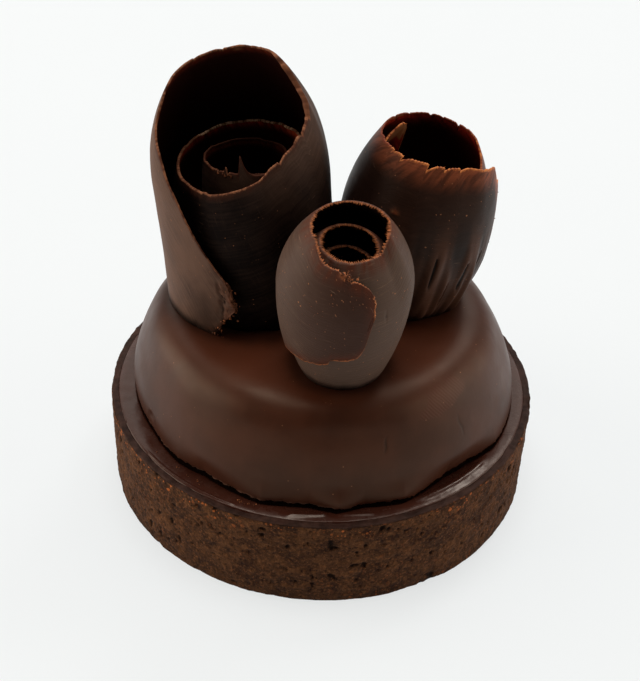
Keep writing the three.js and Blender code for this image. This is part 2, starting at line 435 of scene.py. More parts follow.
def crust_material():
    """Cocoa shortcrust: a dull brown crumb with painted shade in its hollows, rusty grains and a smooth
    rim.
    """
    look = Surface("cocoa_shortcrust")
    rim = look.attribute("rim")
    lumps = look.noise(1.7, detail=4, roughness=0.6)
    crumb = look.noise(0.55, detail=4, roughness=0.7)
    colour = look.mix(look.spread(look.noise(5.0), 0.34, 0.66), shade(56, 33, 19), shade(80, 50, 29))
    for value, low, high, most, tone in (
        (lumps, 0.5, 0.72, 0.8, shade(98, 62, 35)),
        (lumps, 0.46, 0.3, 0.85, shade(34, 19, 11)),
        (crumb, 0.52, 0.68, 0.75, shade(118, 74, 44)),
        (crumb, 0.47, 0.32, 0.9, shade(27, 14, 9)),
    ):
        colour = look.mix(look.spread(value, low, high, 0, most), colour, tone)
    for size, reach in ((0.6, 0.36), (1.0, 0.32), (1.7, 0.28)):
        rust = look.specks(size, (reach, reach / 2), 0.45, 0.7)
        colour = look.mix(look.times(rust, look.attribute("grains")), colour, shade(172, 92, 44))
    # The crust is darker towards the bottom, over its lowest 5 millimetres.
    level = look.node("ShaderNodeSeparateXYZ", {0: look.place}).outputs["Z"]
    colour = look.mix(look.spread(level, 5.0, 0.0, 0, 0.4), colour, shade(38, 20, 10))
    # The pits and loose hollows are painted near black: painted shade in the hollows.
    pit = look.plus(look.attribute("pit"), look.spread(crumb, 0.3, 0.7, 0.14, -0.14))
    colour = look.mix(look.spread(pit, 0.1, 0.8, 0, 0.88), colour, shade(17, 8, 5))
    rim_tone = look.mix(look.spread(look.noise(1.6), 0.3, 0.7), shade(36, 20, 15), shade(58, 37, 30))
    look.set(Base_Color=look.mix(rim, colour, rim_tone), Roughness=look.spread(rim, 0, 1, 0.85, 0.55))
    look.set(Specular_IOR_Level=0.1, Specular_Tint=WARM_SHEEN)
    soft = look.times(lumps, look.spread(rim, 0, 1, 1.0, 0.2))
    rough = look.times(crumb, look.spread(rim, 0, 1, 1.0, 0.25))
    look.bump((soft, 0.3), (rough, 0.28))
    return look.material


def ganache_material():
    """Dark glossy ganache, reddish where it is thin, with painted shade, almost black, in the gap under the
    lip.
    """
    look = Surface("ganache")
    colour = look.mix(look.noise(5), shade(44, 19, 12), shade(64, 32, 22))
    # Under the dome's lip the ganache is painted almost black: painted shade.
    colour = look.mix(look.attribute("gap"), colour, shade(20, 9, 6))
    look.set(Base_Color=colour, Roughness=look.spread(look.noise(2.2), 0.3, 0.75, 0.17, 0.34))
    look.set(Specular_IOR_Level=0.3, Specular_Tint=WARM_SHEEN)
    look.bump((look.noise(3.0, detail=2), 0.06), (look.noise(0.5), 0.005))
    return look.material


def coating_material():
    """The dome's satin chocolate coating, with a dull fingertip patch, two hairlines and painted shadow
    round the curls' feet.
    """
    look = Surface("chocolate_coating")
    patch = look.attribute("patch")
    colour = look.mix(look.spread(look.noise(9), 0.3, 0.7), shade(52, 24, 13), shade(65, 33, 20))
    chipped = look.times(look.attribute("chipped"), look.spread(look.noise(0.8), 0.35, 0.6))
    for amount, tone in (
        (look.attribute("warm"), shade(76, 36, 20)),
        (look.times(look.specks(1.5, (0.09, 0.05), 0.72, 0.8), 0.6), shade(150, 100, 70)),
        (look.times(patch, 0.5), shade(70, 33, 22)),
        (chipped, shade(104, 74, 60)),
        (look.attribute("hairline"), shade(26, 11, 7)),
        # a painted shadow round the foot of each curl
        (look.attribute("contact_shadow"), shade(20, 8, 5)),
    ):
        colour = look.mix(amount, colour, tone)
    look.set(Base_Color=colour, Roughness=look.spread(look.noise(6, detail=4), 0.3, 0.7, 0.38, 0.48))
    look.set(Specular_IOR_Level=0.25, Specular_Tint=(1.0, 0.77, 0.55, 1.0))
    ridges = look.node(
        "ShaderNodeTexWave",
        {"Vector": look.place, "Scale": 0.72, "Distortion": 2.0, "Detail": 1.0},
        bands_direction="DIAGONAL",
    ).outputs["Fac"]
    printed = look.times(ridges, patch)
    look.bump((look.noise(2.5, detail=2), 0.03), (look.noise(0.35), 0.006), (printed, 0.012))
    return look.material


# How the chocolate of the (large, rear, front) curl looks: colours as a picture shows them, then
# widths in millimetres, strengths from 0 to 1, and slants in radians.
CURL_LOOKS = {
    "dark": ((13, 6, 5), (24, 12, 8), (56, 34, 26)),  # the clean face; the large curl's is made darker as painted shade
    "light": ((96, 71, 58), (68, 42, 30), (78, 60, 50)),  # the dusty face
    "edge": ((134, 86, 60), (192, 114, 60), (164, 96, 56)),  # the torn edge's teeth
    "edge_dark": ((72, 40, 28), (116, 52, 32), (88, 52, 34)),  # and between them
    "chip": ((92, 56, 38), (124, 78, 48), (178, 100, 54)),  # broken chocolate
    "blush": ((60, 32, 22), (132, 68, 42), (78, 38, 24)),  # the face near the edge
    "inner_blush": ((214, 84, 50), (136, 34, 20), (50, 25, 17)),  # the inside near it
    "inner": ((26, 10, 7), (30, 10, 6), (28, 13, 9)),  # the rest of the inside
    "blush_width": (1.8, 4.6, 2.8),
    "inner_width": (2.6, 4.0, 3.0),
    "gloss": (0.5, 0.42, 0.5),  # the lowest roughness
    "sheen": (0.045, 0.11, 0.12),  # the specular level
    "specks": (0.84, 0.78, 0.5),  # fewer as this nears 1
    "scrapes": (0.5, 0.5, 0.85),  # short pale marks
    "hairs": (0.26, 0.16, 0.5),  # long fine ones
    "hair_slant": (1.3, 0.5, -0.06),
    "rays": (0.3, 0.7, 0.3),  # the slant of the blotches near the edge
    "streak": (0.02, 0.03, 0.03),  # how deep the streaks are
    "scratch": (0.025, 0.03, 0.07),  # and the scratches
}


def curl_tones(number):
    """One curl's column of CURL_LOOKS, with its colours made ready for a shader."""
    chosen = {name: values[number] for name, values in CURL_LOOKS.items()}
    return {name: shade(*value) if isinstance(value, tuple) else value for name, value in chosen.items()}


def curl_face(look, tones, clouds, streaks, blotch):
    """The colour of a sheet's outer face: dust with painted shade, a blush near the edge, specks, scrapes,
    hairs.
    """
    flat = look.uv()
    dust_and_shade = look.attribute("dust_and_shade")
    cloudy = look.spread(clouds, 0.3, 0.7, -0.18, 0.18)
    streaky = look.spread(streaks, 0.3, 0.7, -0.15, 0.15)
    uneven = look.times(look.plus(cloudy, streaky), look.spread(dust_and_shade, 0, 1, 0.25, 1.0))
    colour = look.mix(look.plus(dust_and_shade, uneven), tones["dark"], tones["light"])
    near_edge = look.spread(look.attribute("from_rim"), tones["blush_width"], 0.1, 0, 0.95)
    colour = look.mix(look.times(near_edge, blotch), colour, tones["blush"])
    clusters = look.spread(look.noise(4.0, flat), 0.42, 0.62)
    rare = tones["specks"]
    for size, reach in ((0.62, 0.17), (1.3, 0.12)):
        specks = look.specks(size, (reach, reach / 2), rare, rare + 0.04, flat)
        colour = look.mix(look.times(specks, clusters), colour, shade(150, 98, 64))
    scrapes = look.specks(1.3, (0.12, 0.03), 0.74, 0.86, look.uv(0.2, 3.0, 0.3))
    colour = look.mix(look.times(scrapes, tones["scrapes"]), colour, shade(136, 104, 82))
    hairs = look.spread(look.noise(1.0, look.uv(0.22, 5.0, tones["hair_slant"])), 0.56, 0.72)
    hairs = look.times(hairs, look.spread(look.noise(3.0, flat), 0.4, 0.65, 0.15, 1.0))
    hairs = look.times(hairs, look.spread(dust_and_shade, 0.1, 0.8, 0.3, 1.0))
    return look.mix(look.times(hairs, tones["hairs"]), colour, shade(128, 96, 74))


def curl_material(name, number):
    """A chocolate sheet: dusty satin with faint streaks, warmer towards its torn edge, with painted glints
    on the edge and painted shade in its slits, low down and at its foot.
    """
    tones = curl_tones(number)
    look = Surface(name)
    flat = look.uv()
    clouds = look.noise(6)
    streaks = look.noise(1.0, look.uv(0.14, 2.2), detail=4, roughness=0.6)
    blotch = look.spread(look.noise(1.0, look.uv(1.1, 0.22, tones["rays"])), 0.32, 0.66, 0.3, 1.0)
    colour = curl_face(look, tones, clouds, streaks, blotch)
    tips_light_and_shade = look.plus(look.attribute("tooth"), look.spread(look.noise(2.2, flat), 0.3, 0.7, -0.3, 0.3))
    # The edge's tone runs from dark to light with the teeth and the painted light and shade on them; its
    # highest values are painted a near-white glint, a painted highlight.
    edge_tone = look.mix(look.spread(tips_light_and_shade, 0.2, 0.9), tones["edge_dark"], tones["edge"])
    edge_tone = look.mix(look.spread(tips_light_and_shade, 1.1, 1.9), edge_tone, shade(250, 205, 160))
    uneven_edge = look.spread(look.noise(0.28, flat), 0.25, 0.75, -0.14, 0.14)
    from_edge = look.plus(look.attribute("torn"), uneven_edge)
    colour = look.mix(look.spread(from_edge, 0.32, 0.06), colour, edge_tone)
    # Slits, cracks and pits are painted near black, and so is each curl's foot: painted shade.
    colour = look.mix(look.spread(look.attribute("slit_and_shade"), 0.2, 0.8), colour, shade(10, 5, 4))
    chip_tone = look.mix(look.spread(look.noise(0.7, flat), 0.3, 0.7), tones["edge_dark"], tones["chip"])
    colour = look.mix(look.times(look.attribute("chip"), 0.85), colour, chip_tone)
    near_edge = look.spread(look.attribute("from_rim"), tones["inner_width"], 0.1)
    inner_red = look.times(look.plus(look.times(near_edge, blotch), 0.08), look.attribute("glow"))
    inside = look.mix(inner_red, tones["inner"], tones["inner_blush"])
    inside = look.mix(look.spread(from_edge, 0.2, 0.04), inside, edge_tone)
    inside = look.mix(look.attribute("scar"), inside, tones["chip"])
    colour = look.mix(look.spread(look.attribute("inner"), 0.5, 0.9), colour, inside)
    gloss = tones["gloss"]
    look.set(Base_Color=colour, Roughness=look.spread(clouds, 0.3, 0.7, gloss, gloss + 0.08))
    look.set(Specular_IOR_Level=tones["sheen"], Specular_Tint=WARM_SHEEN)
    scratches = look.noise(0.22, look.uv(0.04, 1.0), detail=2)
    look.bump((streaks, tones["streak"]), (look.noise(0.3), 0.012), (scratches, tones["scratch"]))
    return look.material


def crumb_material():
    """Loose flakes of torn chocolate."""
    look = Surface("chocolate_flakes")
    colour = look.mix(look.spread(look.noise(0.5), 0.35, 0.65), shade(62, 34, 22), shade(150, 86, 48))
    look.set(Base_Color=colour, Roughness=0.6, Specular_IOR_Level=0.14)
    look.bump((look.noise(0.2), 0.03))
    return look.material


# ---------- the crust ----------

CRUST_COLUMNS = 960
CRUST_WALL_ROWS = 66
CRUST_SEED = 11
CRUST_EDGE = 0.55                # how rounded the wall's two outer edges are
SMALL_PITS = 620
# Two large pits under the rim at the front: (direction in degrees, height, radius, depth).
LARGE_PITS = [(-73.2, 17.2, 0.85, 0.6), (-71.6, 16.9, 0.55, 0.4)]
RIM_BITE = -7                    # where a bite is out of the rim, in degrees
RIM_LUMP = -12.5                 # and the lump beside it


def crust_profile():
    """(radius, height, how far the row is on the smooth rim) of each row, from below to inside."""
    outer, top, edge = CRUST_RADIUS, CRUST_HEIGHT, CRUST_EDGE
    inner = outer - CRUST_WALL
    rows = [(share * (outer - edge), 0.0, 0.0) for share in (0.4, 0.8, 0.95, 1.0)]
    rows += [(outer - edge * (1 - math.sin(a)), edge * (1 - math.cos(a)), 0.0) for a in (0.5, 1.05)]
    for share in np.linspace(0, 1, CRUST_WALL_ROWS):
        rows.append((outer, edge + (top - 2 * edge) * share, 0.0))
    for a in (0.4, 0.8, 1.2, 1.57):
        rows.append((outer - edge * (1 - math.cos(a)), top - edge * (1 - math.sin(a)), blend(a, 0.2, 1.0)))
    for share in (0.3, 0.55, 0.8, 1.0):
        rows.append((outer - edge - (CRUST_WALL - edge - 0.15) * share, top, 1.0))
    rows += [(inner + 0.04, top - 0.12, 1.0), (inner, top - 0.5, 1.0)]
    rows += [(inner, height, 0.0) for height in (14.0, 8.0, CRUST_FLOOR)]
    rows += [(inner * 0.6, CRUST_FLOOR, 0.0)]
    return np.array(rows, float).T


def scatter_pits(azimuth, height):
    """How deep the wall is pitted, by the two large pits and many small ones."""
    dice = np.random.default_rng(CRUST_SEED)
    depth = np.zeros((len(azimuth), len(height)))
    pits = [(math.radians(direction), *pit) for direction, *pit in LARGE_PITS]
    for _ in range(SMALL_PITS):
        size = 0.18 + 0.42 * dice.random() ** 2.6
        direction, level = dice.uniform(-math.pi, math.pi), dice.uniform(0.6, CRUST_HEIGHT - 0.9)
        pits.append((direction, level, size, size * dice.uniform(0.3, 0.8)))
    for direction, level, size, deep in pits:
        reach = (azimuth - direction + math.pi) % (2 * math.pi) - math.pi
        columns = np.nonzero(np.abs(reach) * CRUST_RADIUS < size * 2)[0]
        rows = np.nonzero(np.abs(height - level) < size * 1.4)[0]
        if not len(columns) or not len(rows):
            continue
        stretch = dice.uniform(0.6, 1.6)
        tilt = dice.uniform(-0.8, 0.8)
        across = reach[columns][:, None] * CRUST_RADIUS / stretch
        up = (height[rows] - level)[None] + across * tilt
        hollow = deep * dent(np.hypot(across, up), size)
        block = np.ix_(columns, rows)
        depth[block] = np.maximum(depth[block], hollow)
    return depth


def crust_pits(azimuth, points, outside, height_row, on_wall):
    """How deep the wall's small pits and its larger loose hollows are."""
    pit = np.zeros_like(outside)
    rows = np.nonzero(on_wall)[0]
    pit[:, rows] = scatter_pits(azimuth, height_row[rows])
    loose = layered_noise(points, 1.5, CRUST_SEED + 14, 3)
    loose += 0.25 * smooth_noise(points, 7.0, CRUST_SEED + 17)
    return np.maximum(pit, 0.42 * blend(loose, 0.36, 0.7) * outside)


def make_crust():
    """The shell: a crumbly outer wall, an uneven smooth rim and a plain inside."""
    azimuth = ring_angles(CRUST_COLUMNS)
    radius_row, height_row, rim_row = crust_profile()
    radius, height, rim = (np.tile(row, (CRUST_COLUMNS, 1)) for row in (radius_row, height_row, rim_row))
    points = ring_points(radius, height, azimuth)

    on_wall = (radius_row > CRUST_RADIUS - 0.6) & (height_row > 0) & (rim_row < 1)
    outside = blend(radius, CRUST_RADIUS - 0.6, CRUST_RADIUS - 0.5) * (1 - rim)
    crumb = (
        0.13 * layered_noise(points, 1.7, CRUST_SEED, 2)
        + 0.10 * layered_noise(points, 0.8, CRUST_SEED + 5, 2)
        + 0.10 * smooth_noise(points, 6.0, CRUST_SEED + 9)
    )
    pit = crust_pits(azimuth, points, outside, height_row, on_wall)
    radius += outside * (crumb - 0.24 - pit)

    # The rim is uneven: it dips and its two edges wander a little.
    wander = layered_noise(points, 3.0, CRUST_SEED + 20, 3)
    edge_wander = smooth_noise(points, 1.1, CRUST_SEED + 30)
    height -= rim * (0.16 + 0.16 * wander + 0.11 * edge_wander)
    inner_edge = blend(radius_row, CRUST_RADIUS - 0.1, CRUST_RADIUS - 0.7)
    outer_edge = blend(radius_row, CRUST_RADIUS - 0.7, CRUST_RADIUS - 0.1)
    radius += rim * inner_edge[None] * 0.22 * wander
    radius -= rim * outer_edge[None] * (0.16 + 0.26 * edge_wander)

    height -= rim * dent(turn_from(azimuth, RIM_BITE) * CRUST_RADIUS, 2.2)[:, None] * 0.7
    height += rim * dent(turn_from(azimuth, RIM_LUMP) * CRUST_RADIUS, 1.1)[:, None] * 0.1

    # Rusty grains lie thickest near the rim at the front.
    front = blend(np.cos(turn_from(azimuth, -95)), -0.2, 0.6)[:, None]
    patchy = blend(smooth_noise(points, 5.0, CRUST_SEED + 40), -0.35, 0.3)
    upper = blend(height, CRUST_HEIGHT - 4.0, CRUST_HEIGHT - 0.7)
    lower = blend(height, 2.4, 0.3) * 0.55
    grains = np.clip((upper * 1.3 + lower + 0.14) * (0.35 + 0.65 * front) * (0.15 + 0.85 * patchy), 0, 1)
    smooth = rim * blend(height, CRUST_HEIGHT - 1.5, CRUST_HEIGHT - 0.7)
    return turned_piece(
        "crust_shell", radius, height, azimuth, crust_material(), "crust",
        {"pit": np.clip(pit / 0.36, 0, 1), "rim": smooth, "grains": grains},
    )


# ---------- the ganache ----------

GANACHE_COLUMNS = 720
GANACHE_SEED = 51
BEAD_CREST = 37.2                # how far out the bead along the wall is highest
CREASE = -84.6                   # where the lip comes to a point, in degrees

# Small ridges of ganache that the dome pressed up and that catch the light: (direction and
# reach of one end, the same of the other, width, height), in degrees and millimetres.
RIDGES = [
    (-146, 38.0, -110, 37.9, 0.2, 0.14),
    (-98, 37.4, -86, 36.7, 0.5, 0.24),
    (-83.5, 36.8, -74, 37.3, 0.3, 0.12),
    (-64, 36.6, -34, 36.5, 0.6, 0.26),
]


def ridge_height(turn, radius, ridge):
    """How high one ridge of ganache is at each place; `turn` is the direction in degrees."""
    from_turn, from_reach, to_turn, to_reach, width, height = ridge
    way = (turn - from_turn) / (to_turn - from_turn)
    line = from_reach + (to_reach - from_reach) * np.clip(way, 0, 1)
    ends = blend(way, 0.0, 0.2) * blend(way, 1.0, 0.85)
    return height * ends * np.exp(-(((radius - line) / width) ** 2))


def make_ganache():
    """Ganache up to the wall, with a low rounded bead along it and a flat part under the lip."""
    azimuth = ring_angles(GANACHE_COLUMNS)
    wall = CRUST_RADIUS - CRUST_WALL + 0.12
    profile = [(10.0, GANACHE_LOW[2]), (wall - 0.4, GANACHE_LOW[2]), (wall, 6.0), (wall, 16.5)]
    surface = np.concatenate([np.linspace(wall, 34.0, 44), [31.0, 24.0, 12.0]])
    radius_row = np.array([r for r, _ in profile] + list(surface))
    height_row = np.array([h for _, h in profile] + [0.0] * len(surface))
    top = np.arange(len(radius_row)) >= len(profile)
    radius, height = (np.tile(row, (GANACHE_COLUMNS, 1)) for row in (radius_row, height_row))
    ring = ring_points(38, 0 * azimuth[:, None], azimuth)
    crest = BEAD_CREST + 0.25 * layered_noise(ring, 6.0, GANACHE_SEED, 2)
    swell = 0.02 + 0.05 * layered_noise(ring, 7.0, GANACHE_SEED + 3, 2)
    bead = np.where(
        radius > crest,
        np.clip(1 - ((radius - crest) / (wall + 0.05 - crest)) ** 2, 0, 1) ** 0.8,
        np.exp(-(((radius - crest) / 1.5) ** 2)),
    )
    floor = np.where(radius > crest, GANACHE_EDGE, GANACHE_LEVEL)
    level = floor + (GANACHE_LEVEL + swell - floor) * bead
    level += 0.05 * layered_noise(ring_points(radius, 0 * radius, azimuth), 2.4, GANACHE_SEED + 6, 2)
    turn = np.degrees(turn_from(azimuth, -90))[:, None] - 90
    for ridge in RIDGES:
        level += ridge_height(turn, radius, ridge)
    crease_way = turn_from(azimuth, CREASE)[:, None] * 37.0
    level -= 0.16 * np.exp(-((crease_way / 0.22) ** 2)) * blend(radius, 38.0, 36.6)
    lip = lip_reach(azimuth)[:, None]
    # Under the lip the ganache dips a little and is marked to be painted dark as painted shade.
    gap = blend(radius, lip + 0.1, lip - 0.2)
    level -= 0.12 * gap
    height[:, top] = level[:, top]
    return turned_piece(
        "ganache_ring", radius, height, azimuth, ganache_material(), "ganache", {"gap": gap}
    )


# ---------- the dome ----------

DOME_COLUMNS = 840
DOME_SEED = 71
# Marks on the coating, by direction in degrees and height: hairlines, each (direction, height,
# half length, slant, strength), a fingertip patch, and a nick at the lower left.
HAIRLINES = [(-70.0, 30.2, 1.6, 0.25, 1.0), (-44.0, 28.7, 2.4, -0.12, 0.8)]
FINGERTIP = (-47, 34.2)
NICK = (-149, 22.0)
# How far the coating's torn lower lip reaches from the tart's centre, by direction in degrees.
# Between the last point and the first, round the back, it wanders about the last value.
LIP = [
    (-149, 34.7), (-133, 35.4), (-124, 34.7), (-112, 35.5), (-105, 36.2), (-99, 35.6),
    (-92, 35.3), (-84, 36.6), (-77, 35.6), (-66, 36.4), (-60, 35.6), (-50, 34.4), (-41, 34.7),
    (-30, 36.3), (-5, 36.1), (40, 36.6), (90, 36.9), (140, 36.4), (190, 35.2), (211, 34.7),
]


def lip_reach(azimuth):
    """How far the torn lip reaches from the tart's centre in each direction."""
    degrees, reach = np.array(LIP, float).T
    return np.interp((np.degrees(azimuth) + 149) % 360 - 149, degrees, reach)


def dome_centre(height):
    """Where the dome's centre is at each height: it sits off centre and leans forward."""
    rise = np.clip((height - DOME_BASE) / (DOME_TOP - DOME_BASE), 0, 1)[..., None]
    return DOME_BASE_CENTRE + (DOME_TOP_CENTRE - DOME_BASE_CENTRE) * rise


def dome_side(height):
    """The dome's radius at a height below the shoulder."""
    rise = np.clip((height - DOME_BASE) / (DOME_SHOULDER - DOME_BASE), 0, 1)
    return DOME_BASE_RADIUS - (DOME_BASE_RADIUS - DOME_SHOULDER_RADIUS) * rise**DOME_SIDE_CURVE


def dome_rows():
    """(radius, height) of each row: under the lip, the lip, the side, the shoulder, the top."""
    rows = [(20.0, 17.9), (30.5, 17.9), (33.6, 18.0), (34.7, 18.6), (35.2, 19.05)]
    rows += [(35.7, 19.12), (35.95, 19.16), (36.0, 19.25), (35.99, 19.5), (35.97, 19.9)]
    rows += [(float(dome_side(h)), h) for h in np.linspace(20.3, DOME_SHOULDER - 1, 50)]
    # The shoulder is one soft bend that leaves the side and meets the top without a crease.
    start = np.array([float(dome_side(DOME_SHOULDER - 1)), DOME_SHOULDER - 1])
    end = np.array([DOME_TOP_RADIUS - 2.5, DOME_TOP])
    lean = np.array([float(dome_side(DOME_SHOULDER - 1) - dome_side(DOME_SHOULDER - 2)), 1.0])
    first = start + 2.6 * lean
    second = end + np.array([4.6, 0.0])
    for t in np.linspace(0, 1, 34)[1:]:
        spot = ((1 - t) ** 3 * start + 3 * (1 - t) ** 2 * t * first
                + 3 * (1 - t) * t**2 * second + t**3 * end)
        rows.append(tuple(spot))
    rows += [(r, DOME_TOP) for r in (22.5, 20.5, 18, 15, 11, 7, 3)]
    return np.array(rows, float).T


def dome_marks(azimuth, level, points):
    """The fingertip patch and the hairlines that the material paints."""
    patch_turn = turn_from(azimuth, FINGERTIP[0])[:, None] * 30
    patch_up = (level - FINGERTIP[1]) - 0.18 * patch_turn
    from_patch = np.hypot(patch_turn / 5.0, patch_up / 1.9) + 0.25 * smooth_noise(points, 1.5, 5)
    hairlines = [strength * hairline_mask(azimuth, level, *line) for *line, strength in HAIRLINES]
    return blend(from_patch, 1.15, 0.85), np.maximum(*hairlines)


def curl_contact_shadow(place):
    """How dark the coating is painted close around the foot of each curl, from 0 to 0.6: a painted contact
    shadow.
    """
    contact_shadow = np.zeros(place.shape[:-1])
    for curl in CURLS.values():
        from_axis = np.hypot(*np.moveaxis(place - np.array(curl["foot"]), -1, 0))
        from_foot = from_axis - curl["foot_radius"][0][1]
        contact_shadow = np.maximum(contact_shadow, 0.6 * blend(from_foot, 2.6, -0.4) ** 1.5)
    return contact_shadow


def make_dome():
    """The coated dome: a torn lip, a soft shoulder, and a flat top with long undulations."""
    azimuth = ring_angles(DOME_COLUMNS)
    radius, height = (np.tile(row, (DOME_COLUMNS, 1)) for row in dome_rows())
    level = height.copy()
    points = ring_points(radius, height, azimuth)

    # The torn lip: its reach round the dome, bites out of it, and its lower edge.
    lip = lip_reach(azimuth)
    arc = (np.degrees(azimuth) + 149) % 360 * (math.pi / 180) * 36
    direction = np.stack([np.cos(azimuth), np.sin(azimuth)], -1)
    offset = (DOME_BASE_CENTRE * direction).sum(-1)
    change = (lip - offset - DOME_BASE_RADIUS)[:, None]
    radius += change * blend(level, 24.0, 19.4) * blend(radius, 30.0, 34.0)
    bites = serrated(arc, 0.8, 0.24, DOME_SEED) + ragged(arc, 2.4, 0.3, DOME_SEED + 1)
    radius += (bites + 0.1)[:, None] * blend(level, 19.7, 19.25) * blend(radius, 33.0, 35.0)
    lift = ragged(arc, 0.9, 0.4, DOME_SEED + 2)
    lift += 0.25 * layered_noise(points[:, 6], 3.0, DOME_SEED + 4, 2) + 0.36
    height += lift[:, None] * blend(level, 20.1, 19.3) * blend(level, 18.3, 18.9)
    left = blend(np.cos(turn_from(azimuth, -128)), 0.6, 0.9)[:, None]
    chipped = left * blend(level, 19.75, 19.35) * blend(radius, 35.0, 35.6)

    # The coating's long soft undulations, and the shoulder's uneven roll.
    upper = blend(level, 20.0, 24.0)
    swell = 0.30 * smooth_noise(points, 15.0, DOME_SEED + 7)
    swell += 0.10 * smooth_noise(points, 6.5, DOME_SEED + 8)
    shoulder = blend(level, 29.0, 33.6) * blend(radius, 20.0, DOME_TOP_RADIUS)
    swell += shoulder * 0.26 * smooth_noise(points, 8.0, DOME_SEED + 11)
    tilt = blend(level, DOME_SHOULDER - 1, DOME_TOP - 0.3)
    radius += upper * swell * (1 - tilt)
    height += upper * swell * tilt * 0.55

    nick = dent(np.hypot(turn_from(azimuth, NICK[0])[:, None] * 35, (level - NICK[1]) * 0.8), 1.5)
    radius -= 0.7 * nick * upper
    patch, hairline = dome_marks(azimuth, level, points)
    radius -= 0.10 * hairline
    front = np.cos(turn_from(azimuth, -100))[:, None]
    warm = blend(radius, 31.5, 24.0) * (0.5 + 0.5 * front) * 0.9
    contact_shadow = curl_contact_shadow(points[..., :2] + dome_centre(level))
    return turned_piece(
        "dome_coating", radius, height, azimuth, coating_material(), "dome",
        {"patch": patch, "hairline": hairline, "warm": warm, "chipped": chipped, "contact_shadow": contact_shadow},
        dome_centre(level),
    )


def hairline_mask(azimuth, level, degrees, middle, length, slant):
    """1 along a short upright crack, thinning out at its two ends."""
    across = turn_from(azimuth, degrees)[:, None] * 33 - slant * (level - middle)
    across += 0.12 * np.sin((level - middle) * 2.2)
    ends = np.clip(1 - (np.abs(level - middle) / length) ** 2, 0, 1)
    return np.exp(-((across / 0.16) ** 2)) * ends


# ---------- the curls ----------

FOOT_DEPTH = 0.3                 # how far a sheet's foot reaches into the coating
FOOT_RISE = 0.75                 # and how much higher it is in places
LEAST_SHEET = 1.5                # the least height of a sheet
SIDE_TEAR = 14                   # the roll angle that the torn outer edge's shifts reach
EDGE_RISE = 0.04                 # how far the rounded top edge rises above the face
INNER_DROP = 0.22                # how much lower the inside ends than the face


class Roll:
    """One rolled sheet's shape: where its points are at a roll angle and a height."""

    def __init__(self, curl):
        self.curl = curl
        axis = Vector((*curl["lean"], 1)).normalized()
        side = Vector((0, 1, 0)).cross(axis).normalized()
        back = axis.cross(side)
        self.axis, self.side, self.back = (np.array(v) for v in (axis, side, back))
        self.foot = np.array([*curl["foot"], DOME_TOP])

    def value(self, name, angle):
        """One of the curl's outlines at a roll angle."""
        return along(self.curl[name], angle)

    def radius(self, angle, height):
        """How far the face is from the axis. It curves from the waist to each end."""
        length, waist = self.value("length", angle), self.value("waist", angle)
        waist_height = self.curl["waist_at"] * length
        above = height > waist_height
        end = np.where(above, self.value("rim", angle), self.value("foot_radius", angle))
        reach = np.where(above, length - waist_height, waist_height)
        return waist - (waist - end) * ((height - waist_height) / reach) ** 2

    def place(self, angle, height, radius):
        """The point at a roll angle, a height along the axis and a distance from it."""
        direction = np.radians(self.curl["start"] - angle)
        return (
            self.foot
            + self.axis * height[..., None]
            + self.side * (radius * np.cos(direction))[..., None]
            + self.back * (radius * np.sin(direction))[..., None]
        )

    def standing(self, angle, level):
        """The height along the axis where the sheet meets a level."""
        height = np.zeros_like(angle)
        for _ in range(6):
            point = self.place(angle, height, self.radius(angle, height))
            height = height + (level - point[..., 2]) / self.axis[2]
        return height


def cut_notches(angle, notches):
    """How much lower the notches, each (roll angle, width in degrees, depth), make the top edge.

    The edge slopes down to the roll angle, drops steeply there, and comes back up over the
    notch's width, towards smaller roll angles, or towards larger ones if the width is negative.
    """
    lower = np.zeros_like(angle)
    for at, width, depth in notches:
        back = (at - angle) / width
        ahead = (angle - at) * np.sign(width)
        inside = np.clip(1 - back, 0, 1) ** 2 * (back >= 0)
        steep = np.clip(1 - ahead / 0.9, 0, 1) * (back < 0)
        slope = 0.15 * np.clip(1 - ahead / 10, 0, 1) * (back < 0)
        lower = np.maximum(lower, depth * np.maximum(inside, np.maximum(steep, slope)))
    return lower


def sheet_spot(arc, height, squash=1.0):
    """Points of a sheet for noise that doesn't repeat from turn to turn."""
    arc, height = np.broadcast_arrays(arc, height)
    return np.stack([arc, height * squash, 0 * height], -1)


def scar_bands(scars, angle, arc, from_top, seed):
    """1 on the pale torn bands inside, just under the top edge. A scar is (first roll angle, last
    roll angle, width)."""
    scar = np.zeros_like(from_top)
    for first, last, width in scars:
        band = width + 0.5 * ragged(arc, 1.2, width, seed)[:, None]
        along_it = (blend(angle, first, first + 8) * blend(angle, last, last - 8))[:, None]
        scar = np.maximum(scar, along_it * blend(from_top, band, band - 0.15))
    return scar


def sheet_faces(columns, rows):
    """The faces of a sheet whose columns are closed rings of points, capped at both ends."""
    ring = 2 * rows + 2
    here = np.arange(columns - 1)[:, None] * ring + np.arange(ring)[None]
    up = np.arange(columns - 1)[:, None] * ring + (np.arange(ring) + 1)[None] % ring
    faces = np.stack([here, up, up + ring, here + ring], -1).reshape(-1, 4).tolist()
    for base, flip in ((0, False), ((columns - 1) * ring, True)):
        for row in range(rows):
            face = [base + row, base + ring - 1 - row, base + ring - 2 - row, base + row + 1]
            faces.append(face[::-1] if flip else face)
    return faces


